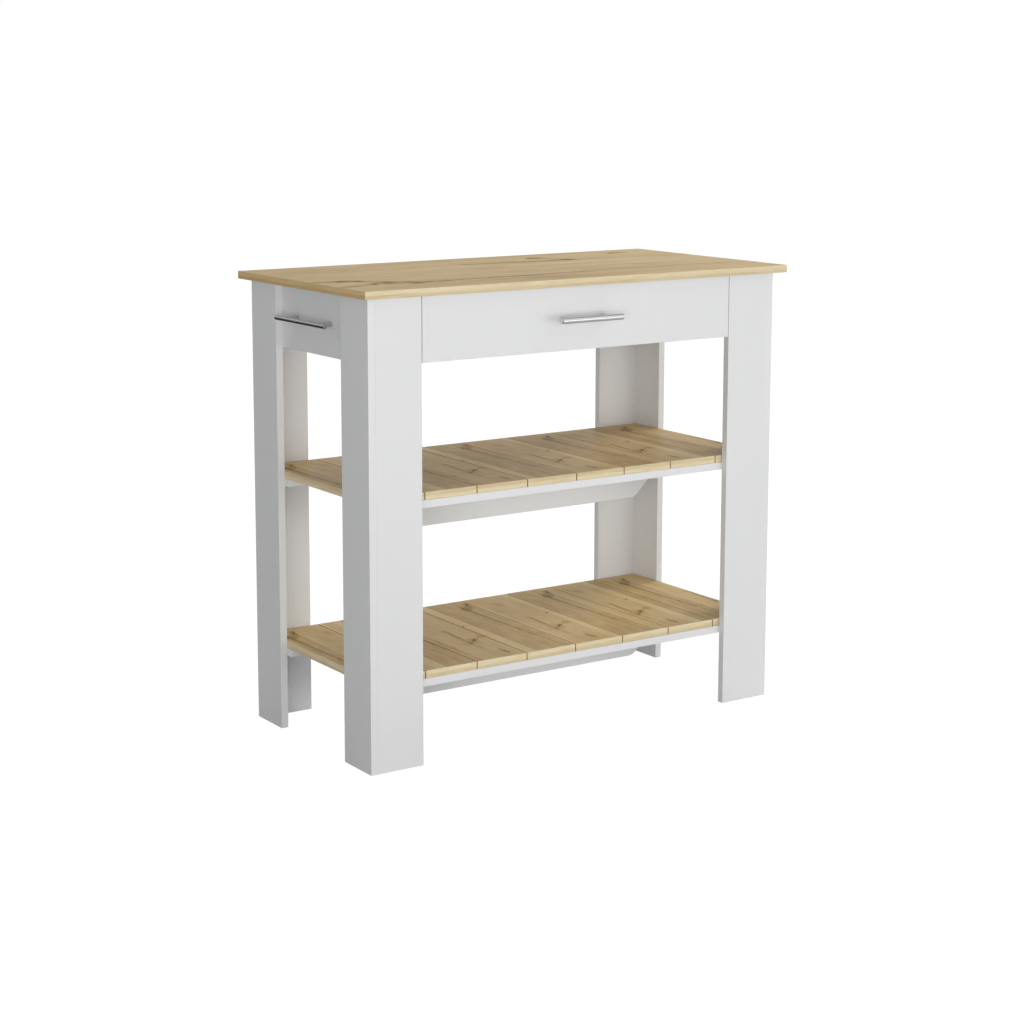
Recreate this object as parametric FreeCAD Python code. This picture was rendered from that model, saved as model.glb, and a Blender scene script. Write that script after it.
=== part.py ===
import FreeCAD, Part
import os
import math

# Kitchen island unit: a worktop on four L-shaped board legs, with one drawer,
# two slatted shelves, a drawer handle and a towel handle on the left end.
# Millimetres, +Z up, +X to the right along the length, -Y towards the drawer side.
# Shapes are built about the middle of the worktop on the floor plane and are
# moved at the end by (ORG_X, ORG_Y) so that the origin is the middle of the
# footprint of the whole object, handles included.

V = FreeCAD.Vector

# ---------------------------------------------------------------- driving sizes
BOARD = 15.0              # thickness of every board
EDGE_R = 0.5              # rounding of the edge strips on every board
TOP_L = 1000.0            # worktop length, X
TOP_D = 500.0             # worktop depth, Y
HEIGHT = 912.0            # floor to the upper face of the worktop
LEG_H = HEIGHT - BOARD    # leg boards stand on the floor under the worktop

LEG_X = 482.0             # half width over the legs
LEG_Y = 227.0             # half depth over the legs
LEG_W = 100.0             # width of each of the two boards of a leg

IN_X = LEG_X - BOARD      # 467, inner face of the side boards
IN_Y = LEG_Y - BOARD      # 212, inner face of the face boards
OPEN_X = IN_X - LEG_W     # 367, half width of the drawer opening

APRON_Z0 = 770.5          # lower edge of the aprons and of the drawer front
APRON_Z1 = LEG_H

SHELF_TOPS = {"middle": 523.8, "lower": 178.4}
SLAT_N = 8
SLAT_W = 115.0
SLAT_GAP = 2.0
SLAT_HALF = 210.0         # half length of a slat, front to back
RAIL_W = 100.0            # flat rail under the slats
STIFF_H = 100.0           # centre stiffener, on edge
STIFF_TOP = 399.0         # half length at its upper edge
STIFF_BOT = 299.0         # half length at its lower edge
STIFF_R = 32.0            # rounding of its lower corners

FRONT_GAP_X = 1.6         # drawer front to leg, each side
FRONT_GAP_Z = 1.5         # drawer front to worktop
SLIDE_GAP = 12.5          # runner space each side of the drawer box
BOX_Z0 = 784.0            # lower edge of the drawer box
BOX_H = 90.0
BOX_L = 380.0             # length of the drawer sides
BOTTOM_Z = 793.0
BOTTOM_T = 3.0
GROOVE = 6.0

RUN_L = 350.0             # drawer runner length
SHEET = 1.2               # runner sheet thickness
ROLL_R_FRONT = 9.5
ROLL_R_REAR = 8.5
ROLL_W = 6.0
AXLE_R = 2.0
FIT = 0.05                # radial clearance of an axle, dowel or screw in its hole

BAR_R_DRAWER = 6.0
BAR_L_DRAWER = 146.0
POSTS_DRAWER = 96.0
OUT_DRAWER = 32.0         # board face to the axis of the bar
BAR_R_SIDE = 5.0
BAR_L_SIDE = 192.0
POSTS_SIDE = 128.0
OUT_SIDE = 30.0
POST_R = 5.0

DOWEL_R = 4.0
CAM_R = 7.5
CAM_T = 12.5
CAM_DIST = 24.0           # joint plane to the middle of the cam

# outer faces of the two handle bars, which set the footprint
X_MIN = -(IN_X + OUT_SIDE + BAR_R_SIDE)
Y_MIN = -(LEG_Y + OUT_DRAWER + BAR_R_DRAWER)
ORG_X = -(X_MIN + TOP_L / 2.0) / 2.0
ORG_Y = -(Y_MIN + TOP_D / 2.0) / 2.0

solids = {}               # node -> list of solids
cuts = {}                 # node -> list of cutting shapes


# ---------------------------------------------------------------- small helpers
def box(x0, x1, y0, y1, z0, z1):
    xa, xb = min(x0, x1), max(x0, x1)
    ya, yb = min(y0, y1), max(y0, y1)
    za, zb = min(z0, z1), max(z0, z1)
    return Part.makeBox(xb - xa, yb - ya, zb - za, V(xa, ya, za))


def board(x0, x1, y0, y1, z0, z1, butt_x=None):
    """Board with its edge strips rounded over. The end at butt_x is left square,
    where it meets another board."""
    b = box(x0, x1, y0, y1, z0, z1)
    rims = []
    for e in b.Edges:
        ends = [v.Point.x for v in e.Vertexes]
        if butt_x is None or max(abs(x - butt_x) for x in ends) > 1e-6:
            rims.append(e)
    return b.makeFillet(EDGE_R, rims)


def rod(p, d, r, length):
    """Cylinder from point p along direction d."""
    return Part.makeCylinder(r, length, p, d)


def add(node, shape):
    solids.setdefault(node, []).append(shape)


def cut(node, shape):
    cuts.setdefault(node, []).append(shape)


def join(shapes):
    s = shapes[0]
    for t in shapes[1:]:
        s = s.fuse(t)
    return s.removeSplitter()


# ---------------------------------------------------------------- fasteners
def dowel(group, a, b, p, n, in_a=16.0, in_b=8.0):
    """Beech dowel across the joint plane at p; n points from board a into board b."""
    body = rod(p - n * (in_a - 1.0), n, DOWEL_R, in_a + in_b - 2.0)
    tip_a = Part.makeCone(DOWEL_R - 1.0, DOWEL_R, 1.0, p - n * in_a, n)
    tip_b = Part.makeCone(DOWEL_R, DOWEL_R - 1.0, 1.0, p + n * (in_b - 1.0), n)
    add(group, join([body, tip_a, tip_b]))
    cut(a, rod(p - n * (in_a + 0.5), n, DOWEL_R + FIT, in_a + 1.0))
    cut(b, rod(p - n * 0.5, n, DOWEL_R + FIT, in_b + 1.0))


def cam(group, board, other, p, n, m):
    """Cam fitting: disc in the face of board on side m, bolt driven into other.
    p lies on the joint plane at mid thickness; n points from board into other."""
    c = p - n * CAM_DIST
    half = BOARD / 2.0
    disc = rod(c + m * half, m * -1.0, CAM_R - FIT, CAM_T)
    slot = rod(c, n, 3.7, CAM_R + 2.0)
    slot = slot.fuse(Part.makeSphere(3.7, c))
    disc = disc.cut(slot)
    t = n.cross(m)
    # cross recess for the screwdriver
    for a, b in ((n, t), (t, n)):
        o = c + m * (half - 1.2)
        pts = [o + a * 5.0 + b * 0.6, o - a * 5.0 + b * 0.6,
               o - a * 5.0 - b * 0.6, o + a * 5.0 - b * 0.6]
        face = Part.Face(Part.makePolygon(pts + [pts[0]]))
        disc = disc.cut(face.extrude(m * 2.0))
    add(group, disc)
    neck = rod(c + n * 1.5, n, 2.0, 3.0)
    head = rod(c - n * 1.5, n, 3.4, 3.0)
    stem = rod(c + n * 4.5, n, 3.5, CAM_DIST - 4.5)
    stem = stem.cut(rod(c + n * 4.4, n, 3.6, 0.2))
    thread = rod(p, n, 2.5, 9.0)
    bolt = join([head, neck, rod(c + n * 4.5, n, 3.4, CAM_DIST - 4.5), thread])
    add(group, bolt)
    cut(board, rod(c + m * (half + 0.5), m * -1.0, CAM_R, CAM_T + 0.7))
    cut(board, rod(c, n, 4.0, CAM_DIST + 0.5))
    cut(other, rod(p - n * 0.5, n, 2.5 + FIT, 10.5))


def screw(group, boards, p, n, r, length, head_r, head_t, extra=0.5):
    """Screw with its head seated at p, driven along n through every board listed."""
    shank = rod(p, n, r, length - 2.0)
    tip = Part.makeCone(r, 0.6, 2.0, p + n * (length - 2.0), n)
    head = rod(p - n * head_t, n, head_r, head_t)
    rim = min(0.6, head_t * 0.6)
    edges = [e for e in head.Edges
             if isinstance(e.Curve, Part.Circle)
             and abs((e.Curve.Center - (p - n * head_t)).Length) < 1e-6]
    head = head.makeChamfer(rim, edges)
    s = join([head, shank, tip])
    t = V(1, 0, 0) if abs(n.x) < 0.5 else V(0, 1, 0)
    b = n.cross(t)
    o = p - n * head_t
    depth = head_t * 0.5
    w = head_r * 0.55
    for a, c in ((t, b), (b, t)):
        pts = [o + a * w + c * 0.35, o - a * w + c * 0.35,
               o - a * w - c * 0.35, o + a * w - c * 0.35]
        face = Part.Face(Part.makePolygon(pts + [pts[0]]))
        s = s.cut(face.extrude(n * depth))
    add(group, s)
    for bd in boards:
        cut(bd, rod(p - n * 0.01, n, r + FIT, length + extra))


# ---------------------------------------------------------------- worktop
add("worktop", board(-TOP_L / 2, TOP_L / 2, -TOP_D / 2, TOP_D / 2, LEG_H, HEIGHT))

# ---------------------------------------------------------------- legs
# Each leg is an L of two boards: the side board shows its edge on the front or
# back, and the face board butts against its inner face.
SIDES = (("left", -1.0), ("right", 1.0))
ENDS = (("front", -1.0), ("back", 1.0))
for side, sx in SIDES:
    for end, sy in ENDS:
        face = "leg_%s_%s_face_board" % (end, side)
        sideb = "leg_%s_%s_side_board" % (end, side)
        add(sideb, board(sx * IN_X, sx * LEG_X, sy * (LEG_Y - LEG_W), sy * LEG_Y, 0, LEG_H))
        add(face, board(sx * OPEN_X, sx * IN_X, sy * IN_Y, sy * LEG_Y, 0, LEG_H, sx * IN_X))
        for z in (60.0, 300.0, 640.0, 840.0):
            dowel("frame_dowels", face, sideb,
                  V(sx * IN_X, sy * (LEG_Y - BOARD / 2), z), V(sx, 0, 0))
        # locates the worktop
        dowel("frame_dowels", face, "worktop",
              V(sx * (IN_X - LEG_W / 2), sy * (LEG_Y - BOARD / 2), LEG_H), V(0, 0, 1))

# ---------------------------------------------------------------- aprons
for side, sx in SIDES:
    node = "apron_%s" % side
    add(node, board(sx * (IN_X - BOARD), sx * IN_X, -IN_Y, IN_Y, APRON_Z0, APRON_Z1))
    for end, sy in ENDS:
        for z in (800.0, 850.0):
            screw("frame_screws", [node, "leg_%s_%s_side_board" % (end, side)],
                  V(sx * (IN_X - BOARD), sy * 172.0, z), V(sx, 0, 0), 2.0, 23.0, 4.0, 2.2)
        cam("frame_cam_fittings", node, "worktop",
            V(sx * (IN_X - BOARD / 2), sy * 115.0, LEG_H), V(0, 0, 1), V(-sx, 0, 0))

BACK_Y0 = IN_Y - BOARD
add("apron_back", board(-(IN_X - BOARD), IN_X - BOARD, BACK_Y0, IN_Y, APRON_Z0, APRON_Z1))
for side, sx in SIDES:
    for z in (800.0, 850.0):
        screw("frame_screws", ["apron_back", "leg_back_%s_face_board" % side],
              V(sx * 412.0, BACK_Y0, z), V(0, 1, 0), 2.0, 23.0, 4.0, 2.2)
    cam("frame_cam_fittings", "apron_back", "worktop",
        V(sx * 200.0, IN_Y - BOARD / 2, LEG_H), V(0, 0, 1), V(0, -1, 0))

# ---------------------------------------------------------------- runner panels
for side, sx in SIDES:
    node = "runner_panel_%s" % side
    add(node, board(sx * OPEN_X, sx * (OPEN_X + BOARD), -IN_Y, BACK_Y0, APRON_Z0, APRON_Z1))
    xm = sx * (OPEN_X + BOARD / 2)
    face = "leg_front_%s_face_board" % side
    for z in (790.0, 868.0):
        dowel("frame_dowels", node, face, V(xm, -IN_Y, z), V(0, -1, 0))
        dowel("frame_dowels", node, "apron_back", V(xm, BACK_Y0, z), V(0, 1, 0))
    cam("frame_cam_fittings", node, face, V(xm, -IN_Y, 830.0), V(0, -1, 0), V(sx, 0, 0))
    cam("frame_cam_fittings", node, "apron_back", V(xm, BACK_Y0, 830.0), V(0, 1, 0), V(sx, 0, 0))
    cam("frame_cam_fittings", node, "worktop", V(xm, -90.0, LEG_H), V(0, 0, 1), V(sx, 0, 0))

# ---------------------------------------------------------------- shelves
PITCH = SLAT_W + SLAT_GAP
for shelf in ("middle", "lower"):
    top = SHELF_TOPS[shelf]
    zr0, zr1 = top - 2 * BOARD, top - BOARD
    slats = []
    for k in range(SLAT_N):
        x0 = -IN_X + k * PITCH
        node = "%s_shelf_slat_%d" % (shelf, k + 1)
        slats.append((node, x0))
        add(node, board(x0, x0 + SLAT_W, -SLAT_HALF, SLAT_HALF, top - BOARD, top))
    # flat rails front and back, between the side boards of the legs
    for end, sy in ENDS:
        rail = "%s_shelf_rail_%s" % (shelf, end)
        add(rail, board(-IN_X, IN_X, sy * (IN_Y - RAIL_W), sy * IN_Y, zr0, zr1))
        zm = (zr0 + zr1) / 2
        for side, sx in SIDES:
            sideb = "leg_%s_%s_side_board" % (end, side)
            for y in (140.0, 200.0):
                dowel("frame_dowels", rail, sideb, V(sx * IN_X, sy * y, zm), V(sx, 0, 0))
            cam("frame_cam_fittings", rail, sideb,
                V(sx * IN_X, sy * 170.0, zm), V(sx, 0, 0), V(0, 0, -1))
        for node, x0 in slats:
            screw("frame_screws", [rail, node],
                  V(x0 + SLAT_W / 2, sy * 158.0, zr0), V(0, 0, 1), 2.0, 23.0, 4.0, 2.2)
    # centre stiffener on edge, with 45 degree ends and rounded lower corners
    z1 = top - BOARD
    z0 = z1 - STIFF_H
    node = "%s_shelf_stiffener" % shelf
    pts = [V(-STIFF_TOP, -BOARD / 2, z1), V(STIFF_TOP, -BOARD / 2, z1),
           V(STIFF_BOT, -BOARD / 2, z0), V(-STIFF_BOT, -BOARD / 2, z0)]
    prism = Part.Face(Part.makePolygon(pts + [pts[0]])).extrude(V(0, BOARD, 0))
    low = []
    for e in prism.Edges:
        c = e.CenterOfMass
        if abs(c.z - z0) < 1e-6 and abs(abs(c.x) - STIFF_BOT) < 1e-6:
            low.append(e)
    stiff = prism.makeFillet(STIFF_R, low)
    rims = [e for e in stiff.Edges
            if abs(abs(e.CenterOfMass.y) - BOARD / 2) < 1e-6 or e.CenterOfMass.z > z1 - 1e-6]
    add(node, stiff.makeFillet(EDGE_R, rims))
    for name, x0 in slats:
        x = x0 + SLAT_W / 2
        x = max(-376.0, min(376.0, x))
        dowel("frame_dowels", node, name, V(x, 0, z1), V(0, 0, 1))
    for k, x in ((1, -320.0), (3, -30.0), (4, 30.0), (6, 320.0)):
        cam("frame_cam_fittings", node, slats[k][0], V(x, 0, z1), V(0, 0, 1), V(0, 1, 0))

# ---------------------------------------------------------------- drawer box
FRONT_X = OPEN_X - FRONT_GAP_X
FRONT_Z1 = LEG_H - FRONT_GAP_Z
BOX_X = OPEN_X - SLIDE_GAP            # outer face of the drawer sides
BOX_IN = BOX_X - BOARD
BOX_Z1 = BOX_Z0 + BOX_H
BOX_Y0 = -IN_Y
BOX_Y1 = BOX_Y0 + BOX_L
add("drawer_front", board(-FRONT_X, FRONT_X, -LEG_Y, -IN_Y, APRON_Z0, FRONT_Z1))
add("drawer_back", board(-BOX_IN, BOX_IN, BOX_Y1 - BOARD, BOX_Y1, BOX_Z0, BOX_Z1))
gz0, gz1 = BOTTOM_Z - 0.1, BOTTOM_Z + BOTTOM_T + 0.1
cut("drawer_front", box(-BOX_IN - GROOVE, BOX_IN + GROOVE, BOX_Y0 - GROOVE, BOX_Y0 + 1, gz0, gz1))
cut("drawer_back", box(-BOX_IN - 1, BOX_IN + 1, BOX_Y1 - BOARD - 1, BOX_Y1 - BOARD + GROOVE, gz0, gz1))
add("drawer_bottom", box(-(BOX_IN + GROOVE - 0.2), BOX_IN + GROOVE - 0.2,
                         BOX_Y0 - GROOVE + 0.2, BOX_Y1 - BOARD + GROOVE - 0.2,
                         BOTTOM_Z, BOTTOM_Z + BOTTOM_T))
for side, sx in SIDES:
    node = "drawer_side_%s" % side
    add(node, board(sx * BOX_IN, sx * BOX_X, BOX_Y0, BOX_Y1, BOX_Z0, BOX_Z1))
    cut(node, box(sx * (BOX_IN - 1), sx * (BOX_IN + GROOVE), BOX_Y0 - 1,
                  BOX_Y1 - BOARD + GROOVE, gz0, gz1))
    xm = sx * (BOX_X - BOARD / 2)
    ym = BOX_Y1 - BOARD / 2
    for z in (807.0, 862.0):
        dowel("drawer_dowels", node, "drawer_front", V(xm, BOX_Y0, z), V(0, -1, 0))
        dowel("drawer_dowels", "drawer_back", node, V(sx * BOX_IN, ym, z), V(sx, 0, 0))
    cam("drawer_cam_fittings", node, "drawer_front",
        V(xm, BOX_Y0, 836.0), V(0, -1, 0), V(sx, 0, 0))
    cam("drawer_cam_fittings", "drawer_back", node,
        V(sx * BOX_IN, ym, 836.0), V(sx, 0, 0), V(0, 1, 0))

# ---------------------------------------------------------------- drawer runners
# Roller runners: a channel on the runner panel with a roller at its front end,
# and a member under the drawer side with a roller at its rear end.
CH_Z0 = 786.0                         # channel, outer height 20
CH_Z1 = 806.0
ROLL_FRONT_Y, ROLL_FRONT_Z = -198.0, CH_Z1 + 1.5 - ROLL_R_FRONT
ROLL_REAR_Y, ROLL_REAR_Z = 130.0, CH_Z0 + SHEET + 0.3 + ROLL_R_REAR
CH_Y0 = -210.0
CH_Y1 = CH_Y0 + RUN_L
MB_Z1 = CH_Z1 + 1.5 + 0.3 + SHEET     # upper face of the drawer member
for side, sx in SIDES:
    ch = "cabinet_runner_%s" % side
    mb = "drawer_runner_%s" % side
    xo = OPEN_X                       # panel face
    xi = BOX_X                        # drawer side face
    # fixed channel
    web = box(sx * (xo - SHEET), sx * xo, CH_Y0, CH_Y1, CH_Z0, CH_Z1)
    low_f = box(sx * (xo - 9.8), sx * xo, CH_Y0, CH_Y1, CH_Z0, CH_Z0 + SHEET)
    up_f = box(sx * (xo - 9.8), sx * xo, ROLL_FRONT_Y + 12.0, CH_Y1, CH_Z1 - SHEET, CH_Z1)
    stop = box(sx * (xo - 9.8), sx * xo, CH_Y1 - SHEET, CH_Y1, CH_Z0, CH_Z1)
    # the rear stop is a short tongue bent in from the web
    add(ch, join([web, low_f, up_f, stop]))
    stud_x = xo - SHEET
    stud = rod(V(sx * stud_x, ROLL_FRONT_Y, ROLL_FRONT_Z), V(-sx, 0, 0), AXLE_R, 8.0)
    cap = rod(V(sx * (stud_x - 7.8), ROLL_FRONT_Y, ROLL_FRONT_Z), V(-sx, 0, 0), 3.5, 1.0)
    add(ch, join([stud, cap]))
    # front roller
    r0 = stud_x - 1.5
    rf = "front_roller_%s" % side
    roller = rod(V(sx * r0, ROLL_FRONT_Y, ROLL_FRONT_Z), V(-sx, 0, 0), ROLL_R_FRONT, ROLL_W)
    ring = [e for e in roller.Edges if isinstance(e.Curve, Part.Circle)]
    roller = roller.makeChamfer(0.6, ring)
    bore = rod(V(sx * (r0 + 1), ROLL_FRONT_Y, ROLL_FRONT_Z), V(-sx, 0, 0), AXLE_R + FIT, ROLL_W + 2)
    add(rf, roller.cut(bore))
    # moving member: web on the drawer side, lip under it, upper flange over the front roller
    mweb = box(sx * xi, sx * (xi + SHEET), -211.0, -211.0 + RUN_L, BOX_Z0 - SHEET, MB_Z1)
    lip = box(sx * (xi - 12.5), sx * (xi + SHEET), -211.0, -211.0 + RUN_L, BOX_Z0 - SHEET, BOX_Z0)
    fl = box(sx * xi, sx * (xi + 10.0), -211.0, -211.0 + RUN_L, MB_Z1 - SHEET, MB_Z1)
    add(mb, join([mweb, lip, fl]))
    ax = xi + SHEET
    stud = rod(V(sx * ax, ROLL_REAR_Y, ROLL_REAR_Z), V(sx, 0, 0), AXLE_R, 8.1)
    cap = rod(V(sx * (ax + 8.0), ROLL_REAR_Y, ROLL_REAR_Z), V(sx, 0, 0), 3.5, 0.8)
    add(mb, join([stud, cap]))
    rr = "rear_roller_%s" % side
    r0 = ax + 1.7
    roller = rod(V(sx * r0, ROLL_REAR_Y, ROLL_REAR_Z), V(sx, 0, 0), ROLL_R_REAR, ROLL_W)
    ring = [e for e in roller.Edges if isinstance(e.Curve, Part.Circle)]
    roller = roller.makeChamfer(0.6, ring)
    bore = rod(V(sx * (r0 - 1), ROLL_REAR_Y, ROLL_REAR_Z), V(sx, 0, 0), AXLE_R + FIT, ROLL_W + 2)
    add(rr, roller.cut(bore))
    # runner screws, thin heads so that everything passes
    for y in (-160.0, -30.0, 105.0):
        screw("cabinet_runner_screws", [ch, "runner_panel_%s" % side],
              V(sx * (xo - SHEET), y, 796.0), V(sx, 0, 0), 1.75, 13.0, 3.4, 0.8)
    for y in (-140.0, -10.0, 100.0):
        screw("drawer_runner_screws", [mb, "drawer_side_%s" % side],
              V(sx * (xi + SHEET), y, 800.6), V(-sx, 0, 0), 1.75, 13.0, 3.4, 0.8)


# ---------------------------------------------------------------- handles
def handle(node, screws, board, c, along, out, bar_r, bar_l, posts, reach):
    """Round bar on two posts. c is the middle of the pattern on the board face."""
    axis_p = c + out * reach
    bar = rod(axis_p - along * (bar_l / 2), along, bar_r, bar_l)
    ring = [e for e in bar.Edges if isinstance(e.Curve, Part.Circle)]
    bar = bar.makeChamfer(0.8, ring)
    for s in (-1.0, 1.0):
        q = c + along * (s * posts / 2)
        post = rod(q, out, POST_R, reach)
        post = post.cut(rod(axis_p - along * (bar_l / 2), along, bar_r + 0.03, bar_l))
        spigot = rod(q + out * (reach - bar_r - 2.0), out, 2.5, 5.0)
        post = post.fuse(spigot).removeSplitter()
        post = post.cut(rod(q - out * 1.0, out, 2.0 + FIT, 15.0))
        add(node, post)
        bar = bar.cut(rod(q + out * (reach - bar_r - 1.0), out, 2.5 + FIT, 4.3))
        # machine screw from the inner face of the board
        p = q - out * BOARD
        shank = rod(p, out, 2.0, 24.0)
        head = rod(p - out * 2.5, out, 4.0, 2.5)
        edges = [e for e in head.Edges if isinstance(e.Curve, Part.Circle)
                 and abs((e.Curve.Center - (p - out * 2.5)).Length) < 1e-6]
        head = head.makeChamfer(0.9, edges)
        sc = join([head, shank])
        t = out.cross(along)
        o = p - out * 2.5
        for a, b in ((along, t), (t, along)):
            pts = [o + a * 2.3 + b * 0.4, o - a * 2.3 + b * 0.4,
                   o - a * 2.3 - b * 0.4, o + a * 2.3 - b * 0.4]
            face = Part.Face(Part.makePolygon(pts + [pts[0]]))
            sc = sc.cut(face.extrude(out * 1.4))
        add(screws, sc)
        cut(board, rod(p - out * 1.0, out, 2.25, BOARD + 2.0))
    add(node, bar)


handle("drawer_handle", "drawer_handle_screws", "drawer_front",
       V(0, -LEG_Y, (APRON_Z0 + FRONT_Z1) / 2), V(1, 0, 0), V(0, -1, 0),
       BAR_R_DRAWER, BAR_L_DRAWER, POSTS_DRAWER, OUT_DRAWER)
handle("side_handle", "side_handle_screws", "apron_left",
       V(-IN_X, 0, (APRON_Z0 + APRON_Z1) / 2), V(0, 1, 0), V(-1, 0, 0),
       BAR_R_SIDE, BAR_L_SIDE, POSTS_SIDE, OUT_SIDE)

# ---------------------------------------------------------------- write the parts
os.makedirs("parts", exist_ok=True)
total = 0.0
count = 0
names = []
for node in solids:
    out = []
    for s in solids[node]:
        for c in cuts.get(node, []):
            if s.BoundBox.intersect(c.BoundBox):
                s = s.cut(c)
        out.extend(s.Solids)
    for s in out:
        if not s.isValid():
            raise RuntimeError("not valid: " + node)
    shape = out[0] if len(out) == 1 else Part.makeCompound(out)
    shape.translate(V(ORG_X, ORG_Y, 0.0))
    shape.exportStep("parts/%s.step" % node)
    total += shape.Volume
    count += len(out)
    names.append(node)
    bb = shape.BoundBox
    print("%-32s solids %3d  vol %10.1f  x %8.2f %8.2f  y %8.2f %8.2f  z %7.2f %7.2f" % (
        node, len(out), shape.Volume, bb.XMin, bb.XMax, bb.YMin, bb.YMax, bb.ZMin, bb.ZMax))
print("nodes", len(names), "solids", count, "volume", round(total / 1e9, 5), "m3",
      "origin shift", ORG_X, ORG_Y)
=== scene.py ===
import math

import bmesh
import bpy
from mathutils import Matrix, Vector


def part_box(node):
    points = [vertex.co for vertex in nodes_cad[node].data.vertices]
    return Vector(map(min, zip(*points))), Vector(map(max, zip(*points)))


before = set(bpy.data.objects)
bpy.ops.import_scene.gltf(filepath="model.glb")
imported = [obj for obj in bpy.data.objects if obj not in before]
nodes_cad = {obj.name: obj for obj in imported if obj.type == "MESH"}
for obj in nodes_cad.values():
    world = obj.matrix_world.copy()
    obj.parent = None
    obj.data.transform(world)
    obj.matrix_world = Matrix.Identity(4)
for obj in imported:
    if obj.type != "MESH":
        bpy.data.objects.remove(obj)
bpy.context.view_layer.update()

# Kitchen island unit: looks only. Everything is in metres, in the row frame.
# Decor patterns are laid out in millimetres about the middle of the worktop,
# which is at (1.0, 7.5) mm in the row frame.
ORG = (1.0, 7.5, 0.0)
scene = bpy.context.scene


# ------------------------------------------------------------ node-graph helpers
def srgb(r, g, b):
    """Linear RGBA of an 8-bit colour."""
    out = []
    for c in (r, g, b):
        c /= 255.0
        out.append(c / 12.92 if c <= 0.04045 else ((c + 0.055) / 1.055) ** 2.4)
    return (*out, 1.0)


class Graph:
    """Short spellings for building a shader graph."""

    def __init__(self, tree):
        self.t = tree

    def node(self, kind, **props):
        n = self.t.nodes.new(kind)
        for k, v in props.items():
            setattr(n, k, v)
        return n

    def put(self, socket, value):
        if value is None:
            return
        if isinstance(value, bpy.types.NodeSocket):
            self.t.links.new(value, socket)
        else:
            socket.default_value = value

    def math(self, op, a, b=None, c=None, clamp=False):
        n = self.node("ShaderNodeMath", operation=op, use_clamp=clamp)
        for s, v in zip(n.inputs, (a, b, c)):
            self.put(s, v)
        return n.outputs[0]

    def add(self, a, b):
        return self.math("ADD", a, b)

    def sub(self, a, b):
        return self.math("SUBTRACT", a, b)

    def mul(self, a, b):
        return self.math("MULTIPLY", a, b)

    def mad(self, a, b, c):
        return self.math("MULTIPLY_ADD", a, b, c)

    def maxi(self, *vals):
        out = vals[0]
        for v in vals[1:]:
            out = self.math("MAXIMUM", out, v)
        return out

    def total(self, *vals):
        out = vals[0]
        for v in vals[1:]:
            out = self.add(out, v)
        return out

    def vmath(self, op, a, b=None, out=0):
        n = self.node("ShaderNodeVectorMath", operation=op)
        self.put(n.inputs[0], a)
        if b is not None:
            self.put(n.inputs[3] if op == "SCALE" else n.inputs[1], b)
        return n.outputs[out]

    def xyz(self, x, y, z):
        n = self.node("ShaderNodeCombineXYZ")
        for s, v in zip(n.inputs, (x, y, z)):
            self.put(s, v)
        return n.outputs[0]

    def split(self, v):
        n = self.node("ShaderNodeSeparateXYZ")
        self.put(n.inputs[0], v)
        return n.outputs

    def remap(self, v, a, b, c=0.0, d=1.0, smooth=False):
        n = self.node("ShaderNodeMapRange",
                      interpolation_type="SMOOTHSTEP" if smooth else "LINEAR", clamp=True)
        for s, x in zip(n.inputs, (v, a, b, c, d)):
            self.put(s, x)
        return n.outputs[0]

    def noise(self, vec, scale=1.0, detail=2.0, rough=0.5, distort=0.0, out=0):
        n = self.node("ShaderNodeTexNoise", noise_dimensions="3D")
        self.put(n.inputs["Vector"], vec)
        n.inputs["Scale"].default_value = scale
        n.inputs["Detail"].default_value = detail
        n.inputs["Roughness"].default_value = rough
        n.inputs["Distortion"].default_value = distort
        return n.outputs[out]

    def cells(self, vec, scale=1.0, feature="F1", randomness=1.0, out="Distance"):
        n = self.node("ShaderNodeTexVoronoi", feature=feature)
        self.put(n.inputs["Vector"], vec)
        n.inputs["Scale"].default_value = scale
        n.inputs["Randomness"].default_value = randomness
        return n.outputs[out]

    def ramp(self, fac, stops, smooth=False):
        n = self.node("ShaderNodeValToRGB")
        r = n.color_ramp
        r.interpolation = "EASE" if smooth else "LINEAR"
        while len(r.elements) < len(stops):
            r.elements.new(0.5)
        for e, (p, c) in zip(r.elements, stops):
            e.position = p
            e.color = c
        self.put(n.inputs[0], fac)
        return n.outputs[0]

    def mix(self, fac, a, b, blend="MIX"):
        n = self.node("ShaderNodeMix", data_type="RGBA", blend_type=blend)
        self.put(n.inputs[0], fac)
        self.put(n.inputs[6], a)
        self.put(n.inputs[7], b)
        return n.outputs[2]

    def mixf(self, fac, a, b):
        n = self.node("ShaderNodeMix", data_type="FLOAT")
        self.put(n.inputs[0], fac)
        self.put(n.inputs[2], a)
        self.put(n.inputs[3], b)
        return n.outputs[0]

    def bump(self, height, strength, distance, normal=None):
        n = self.node("ShaderNodeBump")
        n.inputs["Strength"].default_value = strength
        n.inputs["Distance"].default_value = distance
        self.put(n.inputs["Height"], height)
        if normal is not None:
            self.put(n.inputs["Normal"], normal)
        return n.outputs[0]

    def group(self, tree, *values, out=0):
        n = self.node("ShaderNodeGroup")
        n.node_tree = tree
        for s, v in zip(n.inputs, values):
            self.put(s, v)
        return n.outputs[out]


def new_group(name, ins, outs):
    t = bpy.data.node_groups.new(name, "ShaderNodeTree")
    kinds = {"f": "NodeSocketFloat", "v": "NodeSocketVector", "c": "NodeSocketColor"}
    for n, k in ins:
        t.interface.new_socket(n, in_out="INPUT", socket_type=kinds[k])
    for n, k in outs:
        t.interface.new_socket(n, in_out="OUTPUT", socket_type=kinds[k])
    gi = t.nodes.new("NodeGroupInput")
    go = t.nodes.new("NodeGroupOutput")
    return t, Graph(t), gi.outputs, go.inputs


def material(name):
    m = bpy.data.materials.new(name)
    m.use_nodes = True
    g = Graph(m.node_tree)
    return m, g, m.node_tree.nodes["Principled BSDF"]


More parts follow.
